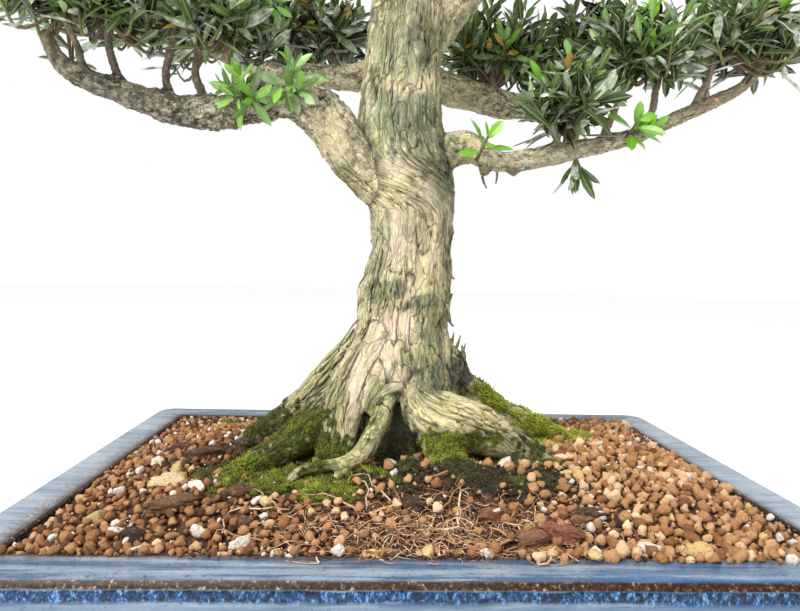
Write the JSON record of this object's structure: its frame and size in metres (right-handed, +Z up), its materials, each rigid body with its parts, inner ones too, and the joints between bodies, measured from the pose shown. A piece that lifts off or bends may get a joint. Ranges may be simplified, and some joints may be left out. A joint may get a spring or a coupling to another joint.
{
  "type": "podocarpus bonsai in a rectangular glazed pot",
  "caption": "Podocarpus bonsai with flared roots, curved limbs and dense heads of narrow leaves, in grainy soil in a rectangular blue-glazed footed pot.",
  "frame": {"origin": "centre of the whole outline seen from above, on the plane of the pot's feet", "axes": "+Z up along the trunk, +X to the picture's right along the pot's long side, +Y away from the viewer"},
  "size_m": [0.5776, 0.36, 0.7032],
  "materials": {
    "glaze": "gloss",
    "screen": "matte",
    "soil": "matte",
    "bark": "matte",
    "leaf": "satin",
    "young_leaf": "satin"
  },
  "bodies": {
    "root": {"pot": "glaze", "drainage_screen_left": "screen", "drainage_screen_right": "screen", "soil": "soil", "tree": "bark", "young_shoot_left": "young_leaf", "young_shoot_bend": "young_leaf", "young_shoot_collar": "young_leaf", "young_shoot_right": "young_leaf", "hanging_spray": "leaf", "leaf_head_left_outer": "leaf", "leaf_head_left_inner": "leaf", "leaf_head_left_back": "leaf", "leaf_head_left_far": "leaf", "leaf_head_right_outer": "leaf", "leaf_head_right_middle": "leaf", "leaf_head_right_inner": "leaf", "leaf_head_right_back": "leaf", "leaf_head_right_far": "leaf", "leaf_head_upper_left": "leaf", "leaf_head_upper_right": "leaf", "leaf_head_upper_back": "leaf", "leaf_head_upper_front": "leaf", "leaf_head_crown": "leaf"}
  },
  "joints": []
}
